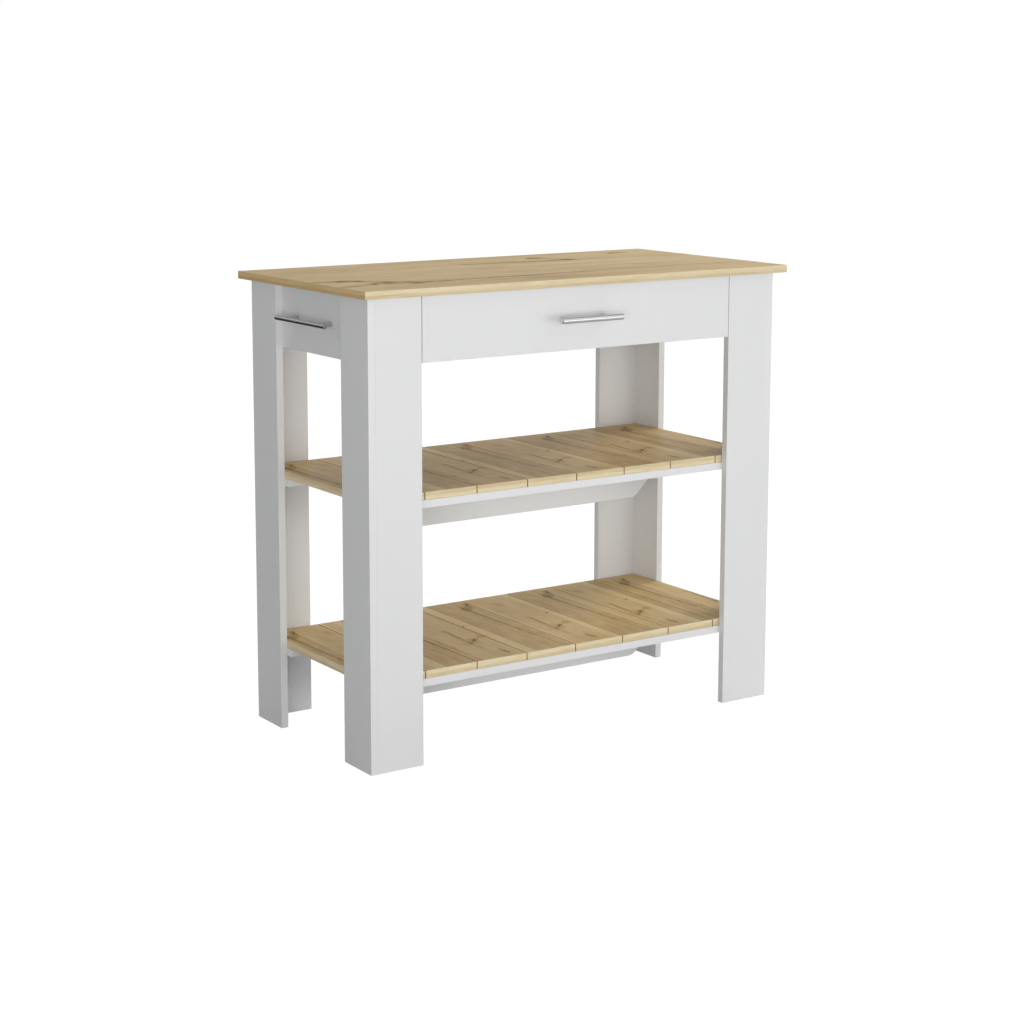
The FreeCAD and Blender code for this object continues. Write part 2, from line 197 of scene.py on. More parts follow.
def mm_point(g):
    """Place on the object in millimetres about the middle of the worktop."""
    tc = g.node("ShaderNodeTexCoord")
    p = g.vmath("SCALE", tc.outputs["Object"], 1000.0)
    return g.vmath("SUBTRACT", p, ORG)


def face_normal(g):
    """Normal in the object's own frame, so it turns with the part."""
    tc = g.node("ShaderNodeTexCoord")
    return g.split(tc.outputs["Normal"])


# Soft ellipse: 1 in its middle, 0 from its rim outwards.
def make_spot():
    t, g, i, o = new_group("spot", [("x", "f"), ("y", "f"), ("cx", "f"), ("cy", "f"),
                                    ("rx", "f"), ("ry", "f"), ("turn", "f")], [("mask", "f")])
    dx, dy = g.sub(i[0], i[2]), g.sub(i[1], i[3])
    a = g.math("RADIANS", i[6])
    c, s = g.math("COSINE", a), g.math("SINE", a)
    u = g.math("DIVIDE", g.add(g.mul(dx, c), g.mul(dy, s)), i[4])
    v = g.math("DIVIDE", g.sub(g.mul(dy, c), g.mul(dx, s)), i[5])
    d = g.math("SQRT", g.add(g.mul(u, u), g.mul(v, v)))
    g.put(o[0], g.remap(d, 0.0, 1.0, 1.0, 0.0, smooth=True))
    return t


# Soft stroke from a to b with half width w, thinner towards b by taper.
def make_stroke():
    t, g, i, o = new_group("stroke", [("x", "f"), ("y", "f"), ("ax", "f"), ("ay", "f"),
                                      ("bx", "f"), ("by", "f"), ("w", "f"), ("taper", "f")],
                           [("mask", "f")])
    dx, dy = g.sub(i[0], i[2]), g.sub(i[1], i[3])
    ex, ey = g.sub(i[4], i[2]), g.sub(i[5], i[3])
    ll = g.add(g.mul(ex, ex), g.mul(ey, ey))
    k = g.math("DIVIDE", g.add(g.mul(dx, ex), g.mul(dy, ey)), ll, clamp=True)
    rx, ry = g.sub(dx, g.mul(ex, k)), g.sub(dy, g.mul(ey, k))
    d = g.math("SQRT", g.add(g.mul(rx, rx), g.mul(ry, ry)))
    w = g.mul(i[6], g.sub(1.0, g.mul(i[7], k)))
    g.put(o[0], g.remap(g.math("DIVIDE", d, w), 0.0, 1.0, 1.0, 0.0, smooth=True))
    return t


SPOT = make_spot()
STROKE = make_stroke()


# Wood figure: along = millimetres along the grain, across = millimetres across it,
# third = a third coordinate that keeps separate faces apart.
# Gives tone (broad and fine streaks, about 0), fibre (fine relief) and pores.
def make_figure():
    t, g, i, o = new_group("wood_figure", [("along", "f"), ("across", "f"), ("third", "f")],
                           [("broad", "f"), ("streak", "f"), ("fibre", "f"), ("pores", "f")])
    broad = g.noise(g.xyz(g.mul(i[0], 0.0021), g.mul(i[1], 0.012), i[2]), 1.0, 2.0, 0.5)
    swirl = g.noise(g.xyz(g.mul(i[0], 0.006), g.mul(i[1], 0.020), g.add(i[2], 7.3)), 1.0, 2.0, 0.55)
    bent = g.mad(swirl, 26.0, i[1])
    streak = g.noise(g.xyz(g.mul(i[0], 0.0045), g.mul(bent, 0.085), g.add(i[2], 3.1)), 1.0, 4.0, 0.62)
    fine = g.noise(g.xyz(g.mul(i[0], 0.018), g.mul(g.mad(swirl, 6.0, i[1]), 0.75), g.add(i[2], 1.7)),
                   1.0, 3.0, 0.6)
    hair = g.noise(g.xyz(g.mul(i[0], 0.05), g.mul(i[1], 2.6), g.add(i[2], 5.9)), 1.0, 2.0, 0.6)
    pore = g.noise(g.xyz(g.mul(i[0], 0.16), g.mul(g.mad(swirl, 6.0, i[1]), 2.1), g.add(i[2], 11.0)),
                   1.0, 2.0, 0.5)
    pore = g.remap(pore, 0.60, 0.70, 0.0, 1.0, smooth=True)
    g.put(o[0], g.sub(broad, 0.5))
    g.put(o[1], g.sub(streak, 0.5))
    g.put(o[2], g.sub(g.mixf(0.45, fine, hair), 0.5))
    g.put(o[3], pore)
    return t


FIGURE = make_figure()

# Colours of the oak decor, linear, from its darkest to its lightest wood,
# and the creamier colours of its edge strips.
OAK = [(0.00, (0.286, 0.172, 0.074, 1)),
       (0.28, (0.520, 0.350, 0.156, 1)),
       (0.50, (0.700, 0.506, 0.242, 1)),
       (0.72, (0.805, 0.610, 0.318, 1)),
       (1.00, (0.880, 0.715, 0.415, 1))]
OAK_EDGE = [(0.00, (0.247, 0.165, 0.087, 1)),
            (0.28, (0.450, 0.336, 0.185, 1)),
            (0.50, (0.616, 0.490, 0.288, 1)),
            (0.72, (0.720, 0.596, 0.380, 1)),
            (1.00, (0.836, 0.732, 0.515, 1))]
KNOT = (0.108, 0.056, 0.016, 1)
KNOT_GREY = (0.215, 0.124, 0.044, 1)


def edge_decor(g, along, z_mm, third):
    """Edge strip noises: a light decor with long streaks along it; its callers make one half of the strip deeper."""
    n1 = g.noise(g.xyz(g.mul(along, 0.0045), g.mul(z_mm, 0.20), third), 1.0, 3.0, 0.6)
    wave = g.noise(g.xyz(g.mul(along, 0.02), g.mul(z_mm, 0.10), g.add(third, 15.0)), 1.0, 2.0, 0.5)
    n2 = g.noise(g.xyz(g.mul(along, 0.014), g.mad(wave, 6.0, g.mul(z_mm, 0.85)), g.add(third, 4.0)), 1.0, 4.0, 0.65)
    n3 = g.noise(g.xyz(g.mul(along, 0.05), g.mul(z_mm, 4.0), g.add(third, 9.0)), 1.0, 2.0, 0.5)
    return n1, n2, n3


def backing(g, p):
    """Underside of the decor boards: a plain off-white backing with faint fibres."""
    cloud = g.noise(p, 0.008, 3.0, 0.55)
    fleck = g.noise(g.vmath("MULTIPLY", p, (0.5, 0.5, 1.0)), 0.7, 4.0, 0.65)
    t = g.total(0.5, g.mul(g.sub(cloud, 0.5), 0.6), g.mul(g.sub(fleck, 0.5), 0.7))
    return g.ramp(t, [(0.1, (0.585, 0.583, 0.570, 1)), (0.9, (0.665, 0.664, 0.655, 1))])


# ------------------------------------------------------------ oak decor, worktop
def oak_top():
    m, g, bsdf = material("oak_decor_top_finish")
    p = mm_point(g)
    nx, ny, nz = face_normal(g)
    # uneven rims for every feature
    wob = g.vmath("SUBTRACT", g.noise(p, 0.035, 3.0, 0.6, out=1), (0.5, 0.5, 0.5))
    rag = g.vmath("SUBTRACT", g.noise(p, 0.16, 3.0, 0.6, out=1), (0.5, 0.5, 0.5))
    q = g.vmath("ADD", p, g.vmath("MULTIPLY", wob, (30.0, 15.0, 0.0)))
    q = g.vmath("ADD", q, g.vmath("MULTIPLY", rag, (11.0, 8.0, 0.0)))
    x, y, z = g.split(q)
    px, py, pz = g.split(p)

    def spot(cx, cy, rx, ry, turn=0.0):
        return g.group(SPOT, x, y, cx, cy, rx, ry, turn)

    def stroke(ax, ay, bx, by, w, taper=0.0):
        return g.group(STROKE, x, y, ax, ay, bx, by, w, taper)

    # the grain bows round the knots
    bow = None
    for cx, cy, rx, ry, push in ((-429, -66, 75, 48, 16), (-366, -146, 95, 52, 18), (146, 160, 70, 42, 12),
                                 (200, 96, 90, 44, 13), (385, 178, 70, 34, 9)):
        k = g.mul(g.group(SPOT, px, py, cx, cy, rx, ry, 0.0), push)
        side = g.remap(g.sub(py, cy), -14.0, 14.0, -1.0, 1.0, smooth=True)
        k = g.mul(k, side)
        bow = k if bow is None else g.add(bow, k)
    across = g.sub(py, bow)
    fig = g.node("ShaderNodeGroup")
    fig.node_tree = FIGURE
    g.put(fig.inputs[0], px)
    g.put(fig.inputs[1], across)
    fig.inputs[2].default_value = 2.4
    broad, streak, fibre, pores = fig.outputs[:4]
    cloud = g.sub(g.noise(g.xyz(g.mul(px, 0.011), g.mul(py, 0.030), 14.0), 1.0, 3.0, 0.6), 0.5)
    # grain lines a few millimetres apart, swaying slowly along the board
    sway = g.noise(g.xyz(g.mul(px, 0.0042), g.mul(py, 0.012), 51.0), 1.0, 2.0, 0.5)
    lines = g.sub(g.noise(g.xyz(g.mul(px, 0.0036), g.mul(g.mad(sway, 46.0, across), 0.27), 33.0), 1.0, 4.0, 0.68), 0.5)
    tone = g.total(0.61, g.mul(broad, 0.60), g.mul(streak, 0.45), g.mul(fibre, 0.36), g.mul(cloud, 0.36),
                   g.mul(lines, 0.40))

    # lighter and darker areas of the decor
    light = g.total(
        g.mul(g.group(SPOT, px, py, 180, 52, 420, 46, -1.0), 0.17),
        g.mul(g.group(SPOT, px, py, -330, 40, 190, 60, 4.0), 0.10),
        g.mul(g.group(SPOT, px, py, -110, 95, 160, 40, 0.0), 0.09),
        g.mul(g.group(SPOT, px, py, -452, -108, 42, 26, 0.0), 0.16),
        g.mul(g.group(SPOT, px, py, 420, 150, 150, 60, 0.0), 0.06))
    dark = g.total(
        g.mul(g.group(SPOT, px, py, -40, -205, 200, 46, 0.0), 0.14),
        g.mul(g.group(SPOT, px, py, 283, -62, 70, 32, 0.0), 0.13),
        g.mul(g.group(SPOT, px, py, -380, 150, 180, 90, 0.0), 0.10),
        g.mul(g.group(SPOT, px, py, -20, -10, 180, 60, 0.0), 0.06),
        g.mul(spot(-323, 142, 26, 13), 0.20),
        g.mul(spot(-173, 123, 22, 10), 0.17),
        g.mul(spot(-246, 124, 30, 10), 0.10),
        g.mul(spot(-4, 62, 22, 26), 0.14))
    # brown veins
    broken = g.remap(g.noise(g.xyz(g.mul(px, 0.02), g.mul(py, 0.06), 3.0), 1.0, 3.0, 0.6), 0.32, 0.60, 0.45, 1.0)
    vein = g.maxi(
        stroke(-330, -152, -205, -146, 15, 0.1), stroke(-205, -146, -87, -145, 13, 0.0),
        stroke(-87, -145, 10, -139, 13, 0.1), stroke(10, -139, 110, -126, 11, 0.1),
        stroke(110, -126, 330, -124, 9, 0.1), stroke(330, -124, 455, -128, 9, 0.5),
        stroke(-46, 120, 60, 112, 15, 0.0), stroke(60, 112, 140, 101, 15, 0.0),
        stroke(140, 101, 215, 99, 14, 0.0), g.mul(stroke(215, 92, 330, 80, 18, 0.5), 0.7),
        stroke(160, 166, 200, 112, 16, 0.2), stroke(-500, -50, -450, -56, 16, 0.0),
        stroke(-500, -158, -415, -138, 18, 0.0), stroke(-405, -78, -362, -116, 14, 0.2),
        g.mul(stroke(225, -52, 460, -70, 20, 0.2), 0.22))
    vein = g.mul(vein, broken)
    # the grain beside a vein is darker, and growth rings close round the knots
    near = g.maxi(stroke(-330, -150, 110, -130, 44, 0.1), stroke(110, -128, 455, -126, 32, 0.3),
                  stroke(-60, 118, 230, 98, 42, 0.2), stroke(-500, -155, -400, -140, 40, 0.0))
    dark_lines = g.mul(near, g.remap(lines, -0.02, 0.15))
    ring = None
    for cx, cy, rx, ry in ((-425, -64, 66, 38), (-398, -132, 56, 40), (-336, -146, 54, 38), (152, 172, 46, 34),
                           (203, 102, 52, 32), (386, 186, 56, 28)):
        dx, dy = g.math("DIVIDE", g.sub(x, cx), rx), g.math("DIVIDE", g.sub(y, cy), ry)
        far = g.math("SQRT", g.add(g.mul(dx, dx), g.mul(dy, dy)))
        k = g.mul(g.math("SINE", g.mul(far, 27.0)), g.remap(far, 0.2, 1.0, 1.0, 0.0, smooth=True))
        ring = k if ring is None else g.add(ring, k)
    # fine dark lines inside the veins
    thread = g.maxi(
        stroke(-305, -148, -150, -144, 3.4, 0.5), stroke(-120, -147, -50, -144, 3.6, 0.5),
        stroke(-40, -142, 60, -134, 2.6, 0.4), stroke(60, -132, 130, -124, 3.0, 0.6),
        stroke(-30, 118, 75, 110, 3.8, 0.3), stroke(90, 108, 190, 101, 3.0, 0.3),
        stroke(166, 160, 198, 114, 3.4, 0.3), stroke(-492, -52, -450, -58, 3.4, 0.2),
        stroke(-480, -152, -425, -140, 2.8, 0.2))
    # knots: a brown halo, a grey-brown eye and dark checks
    halo = g.maxi(spot(-430, -62, 46, 32, -20), spot(-380, -130, 56, 44, -10), spot(-336, -146, 40, 38, 0),
                  spot(160, 168, 44, 34, 20), spot(203, 102, 42, 28, 0), spot(388, 184, 56, 26, 8),
                  g.mul(spot(446, 190, 26, 14, 0), 0.7))
    eye = g.maxi(spot(-436, -57, 22, 20, -15), spot(-413, -72, 18, 16, 0),
                 spot(-411, -134, 13, 20, 10), g.mul(spot(-382, -132, 36, 32, 0), 0.72),
                 g.mul(spot(-366, -118, 18, 18, 0), 0.8), g.mul(spot(-341, -133, 22, 22, 0), 0.95),
                 g.mul(spot(-334, -157, 30, 16, 10), 0.95), g.mul(spot(-303, -147, 16, 12, 0), 0.85),
                 g.mul(spot(150, 173, 14, 15, 20), 0.9), g.mul(spot(183, 148, 18, 12, -30), 0.45),
                 g.mul(spot(203, 103, 18, 13, 0), 0.85), g.mul(spot(386, 190, 24, 10, 0), 0.9),
                 g.mul(spot(368, 176, 12, 11, 0), 0.8), g.mul(spot(404, 181, 18, 10, 0), 0.7))
    check = g.maxi(stroke(-450, -68, -432, -48, 7.5, 0.2), stroke(-432, -50, -408, -74, 5.0, 0.2),
                   stroke(-419, -78, -405, -64, 6.5, 0.3), stroke(-418, -146, -405, -121, 7.0, 0.2),
                   stroke(-398, -118, -374, -148, 4.4, 0.4), stroke(-384, -112, -356, -142, 4.2, 0.4),
                   stroke(-354, -118, -332, -138, 5.0, 0.3), stroke(-352, -160, -316, -154, 4.6, 0.3),
                   stroke(-310, -151, -295, -142, 4.8, 0.3), stroke(142, 164, 158, 184, 6.0, 0.3),
                   stroke(194, 98, 212, 108, 5.0, 0.4), stroke(360, 172, 386, 194, 4.4, 0.3),
                   stroke(386, 194, 414, 183, 4.4, 0.5))
    ragged = g.remap(g.noise(p, 0.16, 4.0, 0.65), 0.34, 0.58, 0.45, 1.0)
    eye = g.mul(eye, ragged)
    check = g.mul(check, g.remap(g.noise(p, 0.11, 3.0, 0.6), 0.36, 0.56, 0.25, 1.0))
    tone = g.sub(g.add(tone, light), dark)
    tone = g.add(g.sub(tone, g.mul(dark_lines, 0.11)), g.mul(ring, 0.055))
    tone = g.sub(tone, g.mul(vein, 0.40))
    tone = g.sub(tone, g.mul(thread, 0.24))
    tone = g.sub(tone, g.mul(halo, 0.30))
    tone = g.sub(tone, g.mul(pores, 0.14))
    face = g.ramp(tone, OAK)
    warm = g.remap(g.noise(g.xyz(g.mul(px, 0.004), g.mul(py, 0.013), 21.0), 1.0, 2.0, 0.5), 0.35, 0.65)
    face = g.mix(g.mul(warm, 0.55), face, g.mix(1.0, face, (1.045, 0.985, 0.935, 1), "MULTIPLY"))
    face = g.mix(g.mul(g.maxi(vein, halo, thread), 0.80), face, g.mix(1.0, face, (1.06, 0.93, 0.70, 1), "MULTIPLY"))
    face = g.mix(g.mul(eye, 0.84), face, KNOT_GREY)
    face = g.mix(g.mul(check, 0.80), face, KNOT)

    # edge strips: long grain on the front and back, and along Y on the ends
    on_end = g.remap(g.math("ABSOLUTE", nx), 0.5, 0.8)
    along = g.mixf(on_end, px, py)
    zz = g.sub(pz, 904.5)
    n1, n2, n3 = edge_decor(g, along, zz, g.mad(on_end, 13.0, g.mul(g.math("SIGN", g.add(nx, ny)), 3.0)))
    lower = g.remap(g.mad(g.sub(n1, 0.5), 7.0, zz), -2.5, 1.5, 1.0, 0.0, smooth=True)
    e_tone = g.total(0.82, g.mul(lower, -0.20), g.mul(g.sub(n1, 0.5), 0.50), g.mul(g.sub(n2, 0.5), 0.85),
                     g.mul(g.sub(n3, 0.5), 0.18))
    dash = g.remap(g.noise(g.xyz(g.mul(along, 0.008), g.mul(zz, 0.55), 31.0), 1.0, 2.0, 0.5), 0.62, 0.72)
    e_tone = g.sub(e_tone, g.mul(dash, 0.22))
    edge = g.ramp(e_tone, OAK_EDGE)
    edge = g.mix(on_end, edge, g.mix(1.0, edge, (0.90, 0.78, 0.63, 1), "MULTIPLY"))
    up = g.remap(g.math("ABSOLUTE", nz), 0.86, 0.93)
    colour = g.mix(up, edge, face)
    colour = g.mix(g.remap(nz, -0.93, -0.86, 1.0, 0.0), colour, backing(g, p))
    g.put(bsdf.inputs["Base Color"], colour)
    # satin lacquer, a little duller in the pores and knots
    rough = g.total(0.36, g.mul(pores, 0.10), g.mul(fibre, 0.14), g.mul(eye, 0.10),
                    g.mul(g.noise(p, 0.012, 2.0, 0.5), 0.06))
    g.put(bsdf.inputs["Roughness"], rough)
    bsdf.inputs["Specular IOR Level"].default_value = 0.03
    height = g.total(g.mul(fibre, 0.5), g.mul(pores, -0.55), g.mul(check, -0.9))
    g.put(bsdf.inputs["Normal"], g.bump(height, 0.35, 0.00025))
    return m


# ------------------------------------------------------------ oak decor, slats
PERIOD = 209.4       # the printed decor comes round again along the shelf


def oak_slat():
    m, g, bsdf = material("oak_decor_slat_finish")
    p = mm_point(g)
    nx, ny, nz = face_normal(g)
    px, py, pz = g.split(p)
    # place inside one repeat of the decor, 0 at the sharp light to dark edge
    cycle = g.math("DIVIDE", g.add(px, 92.0), PERIOD)
    lap = g.math("FLOOR", cycle)
    u0 = g.mul(g.math("FRACT", cycle), PERIOD)
    wob = g.vmath("SUBTRACT", g.noise(g.xyz(u0, py, 40.0), 0.05, 3.0, 0.6, out=1), (0.5, 0.5, 0.5))
    rag = g.vmath("SUBTRACT", g.noise(g.xyz(u0, py, 60.0), 0.22, 3.0, 0.6, out=1), (0.5, 0.5, 0.5))
    wob = g.vmath("ADD", g.vmath("MULTIPLY", wob, (8.0, 18.0, 0.0)), g.vmath("MULTIPLY", rag, (5.0, 9.0, 0.0)))
    wx, wy, wz = g.split(wob)
    x = g.add(wx, u0)
    y = g.add(wy, py)

    def spot(cx, cy, rx, ry, turn=0.0):
        return g.group(SPOT, x, y, cx, cy, rx, ry, turn)

    def stroke(ax, ay, bx, by, w, taper=0.0):
        return g.group(STROKE, x, y, ax, ay, bx, by, w, taper)

    # which plank of the decor: 0 dark, 1 light
    plank = g.remap(u0, 83.0, 88.0, smooth=True)
    third = g.mad(plank, 5.0, g.mul(lap, 0.0))
    bow = None
    for cx, cy, rx, ry, push in ((74, 160, 30, 70, 12), (138, -84, 34, 70, 12), (155, -171, 18, 40, 6)):
        k = g.mul(g.group(SPOT, u0, py, cx, cy, rx, ry, 0.0), push)
        side = g.remap(g.sub(u0, cx), -8.0, 8.0, -1.0, 1.0, smooth=True)
        k = g.mul(k, side)
        bow = k if bow is None else g.add(bow, k)
    fig = g.node("ShaderNodeGroup")
    fig.node_tree = FIGURE
    g.put(fig.inputs[0], g.mul(py, 1.15))
    g.put(fig.inputs[1], g.mul(g.sub(u0, bow), 1.6))
    g.put(fig.inputs[2], third)
    broad, streak, fibre, pores = fig.outputs[:4]
    cloud = g.sub(g.noise(g.xyz(g.mul(u0, 0.045), g.mul(py, 0.016), 24.0), 1.0, 3.0, 0.6), 0.5)
    tone = g.total(0.42, g.mul(broad, 0.34), g.mul(streak, 0.30), g.mul(fibre, 0.30), g.mul(cloud, 0.40))
    # dark plank, light plank, lightest stripe at the edge
    tone = g.add(tone, g.mul(plank, 0.125))
    tone = g.add(tone, g.mul(g.remap(u0, 120.0, 188.0), 0.05))
    stripe = g.mul(g.remap(u0, 189.0, 193.0, smooth=True), g.remap(u0, 206.5, 209.2, 1.0, 0.0))
    tone = g.add(tone, g.mul(stripe, 0.17))
    seam = g.maxi(g.remap(g.math("ABSOLUTE", g.sub(u0, 1.2)), 0.0, 1.6, 1.0, 0.0),
                  g.mul(g.remap(g.math("ABSOLUTE", g.sub(u0, 85.0)), 0.0, 1.5, 1.0, 0.0), 0.55))
    tone = g.sub(tone, g.mul(seam, 0.10))
    # long thin line in the dark plank, with breaks
    broken = g.remap(g.noise(g.xyz(g.mul(u0, 0.05), g.mul(py, 0.03), 8.0), 1.0, 3.0, 0.6), 0.33, 0.55, 0.55, 1.0)
    line = g.mul(g.maxi(stroke(60, 134, 63, 30, 3.4, 0.1), stroke(63, 30, 68.0, -150, 3.4, 0.15),
                        stroke(68.0, -150, 70, -210, 2.6, 0.5)), broken)
    line_halo = g.mul(g.maxi(stroke(60, 134, 63, 30, 8.0, 0.1), stroke(63, 30, 68.0, -130, 8.0, 0.4)), broken)
    halo = g.maxi(spot(72, 158, 24, 50, -26), spot(138, -82, 28, 44, -22), g.mul(spot(176, -60, 26, 20), 0.85),
                  g.mul(spot(156, -174, 13, 34, 6), 0.8), g.mul(spot(142, 135, 16, 24), 0.65),
                  g.mul(spot(84.4, -102, 10, 28, -12), 0.6), g.mul(spot(188, 26, 10, 15), 0.7),
                  g.mul(stroke(134, 20, 130, -96, 9, 0.0), 0.65), g.mul(spot(131, -118, 10, 34, 0), 0.6))
    eye = g.maxi(g.mul(spot(60, 150, 8.0, 17, -14), 0.9), g.mul(spot(64, 136, 6.0, 10, -30), 0.85),
                 g.mul(spot(83, 173, 8.0, 18, -30), 0.9), g.mul(spot(131, -92, 7.5, 13, -10), 0.9),
                 g.mul(spot(150, -73, 9.0, 13, -40), 0.95), g.mul(spot(177, -60, 13.0, 10, -30), 0.45),
                 g.mul(spot(188, 25, 5.0, 8.0, -30), 0.9), g.mul(spot(180, 51, 3.6, 9, -30), 0.6),
                 g.mul(spot(156, -172, 5.6, 20, 8), 0.85), g.mul(spot(84, -104, 4.0, 12, -30), 0.45))
    check = g.maxi(stroke(55, 142, 62, 166, 2.6, 0.3), stroke(55, 142, 68, 132, 2.4, 0.2),
                   stroke(68, 132, 80, 152, 1.6, 0.4), stroke(62, 142, 88, 164, 1.5, 0.4),
                   stroke(76, 164, 90, 184, 3.0, 0.3), stroke(74, 178, 86, 190, 1.5, 0.4),
                   stroke(135, 14, 130, -92, 2.4, 0.1), stroke(130, -92, 148, -78, 1.8, 0.2),
                   stroke(144, -80, 156, -64, 3.0, 0.3), stroke(156, -68, 172, -60, 1.5, 0.4),
                   stroke(154, -156, 157, -190, 2.2, 0.2), stroke(186, 22, 191, 29, 2.2, 0.3))
    ragged = g.remap(g.noise(g.xyz(u0, py, 0.0), 0.20, 4.0, 0.65), 0.34, 0.56, 0.40, 1.0)
    eye = g.mul(eye, ragged)
    glow = g.maxi(g.mul(spot(66, 168, 7, 20, -30), 0.8), g.mul(spot(142, -40, 14, 30, 0), 0.5),
                  g.mul(spot(150, -150, 18, 30, 0), 0.6), g.mul(spot(74, -180, 7, 40, 0), 0.7))
    tone = g.add(tone, g.mul(glow, 0.14))
    tone = g.sub(tone, g.mul(line, 0.30))
    tone = g.sub(tone, g.mul(line_halo, 0.12))
    tone = g.sub(tone, g.mul(halo, 0.19))
    tone = g.sub(tone, g.mul(pores, 0.09))
    face = g.ramp(tone, OAK)
    warm = g.remap(g.noise(g.xyz(g.mul(u0, 0.02), g.mul(py, 0.006), 17.0), 1.0, 2.0, 0.5), 0.35, 0.65)
    face = g.mix(g.mul(warm, 0.6), g.mix(1.0, face, (0.99, 1.01, 1.03, 1), "MULTIPLY"),
                 g.mix(1.0, face, (1.02, 0.99, 0.955, 1), "MULTIPLY"))
    face = g.mix(g.mul(g.maxi(line, halo), 0.55), face, g.mix(1.0, face, (1.0, 0.92, 0.84, 1), "MULTIPLY"))
    face = g.mix(g.mul(eye, 0.66), face, KNOT_GREY)
    face = g.mix(g.mul(check, 0.78), face, KNOT)
    # the rims of each slat: a painted highlight strip on its left, where the gap wall catches light, and a painted
    # shade strip on its right, where the gap lies in shadow
    local = g.sub(g.mul(g.math("FRACT", g.math("DIVIDE", g.add(px, 468.0), 117.0)), 117.0), 1.0)
    # painted highlight: a lighter strip on the left rim of each slat
    face = g.mix(g.remap(local, 3.2, 4.8, 1.0, 0.0), face, g.mix(1.0, face, (1.24, 1.22, 1.18, 1), "MULTIPLY"))
    inner = g.math("LESS_THAN", g.math("ABSOLUTE", px), 460.0)
    # painted shade: a dark brown strip on the right rim of each inner slat
    face = g.mix(g.mul(inner, g.remap(local, 112.8, 114.0, 0.0, 0.45)), face, (0.360, 0.215, 0.098, 1))

    # edge strips of each slat
    on_side = g.remap(g.math("ABSOLUTE", nx), 0.5, 0.8)
    along = g.mixf(on_side, px, py)
    zz = g.sub(pz, g.mixf(g.math("GREATER_THAN", pz, 300.0), 170.9, 516.3))
    n1, n2, n3 = edge_decor(g, g.mul(along, 1.5), zz, g.mad(g.math("GREATER_THAN", pz, 300.0), 2.5, 6.0))
    # two-tone strip: light above and deep below on the lower shelf, the other way up on the middle one
    low_half = g.remap(g.mad(g.sub(n1, 0.5), 6.0, zz), -2.0, 1.5, 1.0, 0.0, smooth=True)
    deep = g.mixf(g.math("GREATER_THAN", pz, 300.0), low_half, g.sub(1.0, low_half))
    e_tone = g.total(0.86, g.mul(deep, -0.22), g.mul(g.sub(n1, 0.5), 0.50), g.mul(g.sub(n2, 0.5), 0.90),
                     g.mul(g.sub(n3, 0.5), 0.18))
    dash = g.remap(g.noise(g.xyz(g.mul(along, 0.016), g.mul(zz, 0.55), 37.0), 1.0, 2.0, 0.5), 0.60, 0.72)
    e_tone = g.sub(e_tone, g.mul(dash, 0.22))
    edge = g.ramp(e_tone, OAK_EDGE)
    # the sides inside the gaps are painted a deeper brown: painted shade inside the gaps, seen as a dark line from
    # above
    gap_shade_mask = g.mul(g.remap(g.math("ABSOLUTE", nx), 0.20, 0.45), inner)
    edge = g.mix(g.mul(gap_shade_mask, 0.80), edge, (0.520, 0.315, 0.140, 1))
    up = g.remap(g.math("ABSOLUTE", nz), 0.90, 0.96)
    colour = g.mix(up, edge, face)
    colour = g.mix(g.remap(nz, -0.93, -0.86, 1.0, 0.0), colour, backing(g, p))
    g.put(bsdf.inputs["Base Color"], colour)
    rough = g.total(0.30, g.mul(pores, 0.12), g.mul(fibre, 0.16), g.mul(eye, 0.12),
                    g.mul(g.noise(p, 0.015, 2.0, 0.5), 0.06))
    g.put(bsdf.inputs["Roughness"], rough)
    bsdf.inputs["Specular IOR Level"].default_value = 0.03
    height = g.total(g.mul(fibre, 0.5), g.mul(pores, -0.55), g.mul(check, -0.8))
    g.put(bsdf.inputs["Normal"], g.bump(height, 0.35, 0.00025))
    return m


# ------------------------------------------------------------ white faced board
# One copy for each board, because the strips' glue lines follow its own edges.
def chipboard(g, p):
    """Sawn chipboard: flakes of many browns with fine dust between."""
    q = g.vmath("MULTIPLY", p, (1.0, 1.0, 1.0))
    c = g.cells(q, 0.42, out="Color")
    cs = g.split(c)
    d = g.cells(q, 0.42, feature="DISTANCE_TO_EDGE")
    flake = g.ramp(cs[0], [(0.0, (0.33, 0.22, 0.125, 1)), (0.5, (0.52, 0.38, 0.235, 1)), (1.0, (0.66, 0.52, 0.35, 1))])
    dust = g.noise(p, 1.6, 3.0, 0.6)
    flake = g.mix(g.mul(dust, 0.45), flake, (0.46, 0.34, 0.21, 1))
    return g.mix(g.remap(d, 0.0, 0.12, 0.55, 0.0), flake, (0.20, 0.13, 0.075, 1)), g.mul(dust, 1.0)


